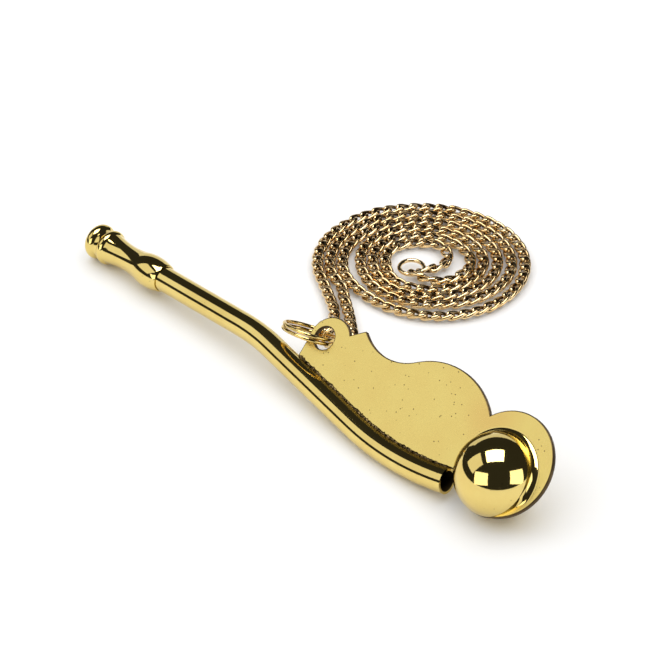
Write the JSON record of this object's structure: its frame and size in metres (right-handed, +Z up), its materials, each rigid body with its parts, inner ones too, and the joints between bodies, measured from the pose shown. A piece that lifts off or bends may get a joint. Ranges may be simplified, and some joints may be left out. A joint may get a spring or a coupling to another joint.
{
  "type": "boatswain call with neck chain",
  "caption": "Naval pipe lying on a table: turned mouthpiece, bent gun tube, keel plate with eared outline and hollow ball, with a split ring and a coiled curb neck chain.",
  "frame": {"origin": "middle of the call's footprint on the table it lies on, without the chain", "axes": "+X along the call from the mouthpiece to the ball, +Y from the call towards the coiled chain, +Z up from the table"},
  "size_m": [0.1296, 0.0773, 0.0181],
  "materials": {
    "polished_brass": "polished",
    "plate_brass": "satin",
    "ring_brass": "polished",
    "chain_brass": "polished"
  },
  "bodies": {
    "call": {"mouthpiece": "polished_brass", "gun_tube": "polished_brass", "keel": "plate_brass", "ball_front": "polished_brass", "ball_back": "polished_brass", "end_jump_rings": "chain_brass", "closing_ring": "chain_brass", "chain_a_lead": "chain_brass", "chain_a_outer": "chain_brass", "chain_a_middle": "chain_brass", "chain_a_inner": "chain_brass", "chain_b_lead": "chain_brass", "chain_b_outer": "chain_brass", "chain_b_middle": "chain_brass", "chain_b_inner": "chain_brass"},
    "split_ring": {"split_ring": "ring_brass"}
  },
  "joints": [
    {"name": "split_ring_turn", "type": "hinge", "parent": "call", "child": "split_ring", "pos_m": [-0.00291, 0.00296, 0.01013], "axis": [-0.0944, 0.5314, 0.8418], "continuous": true}
  ]
}
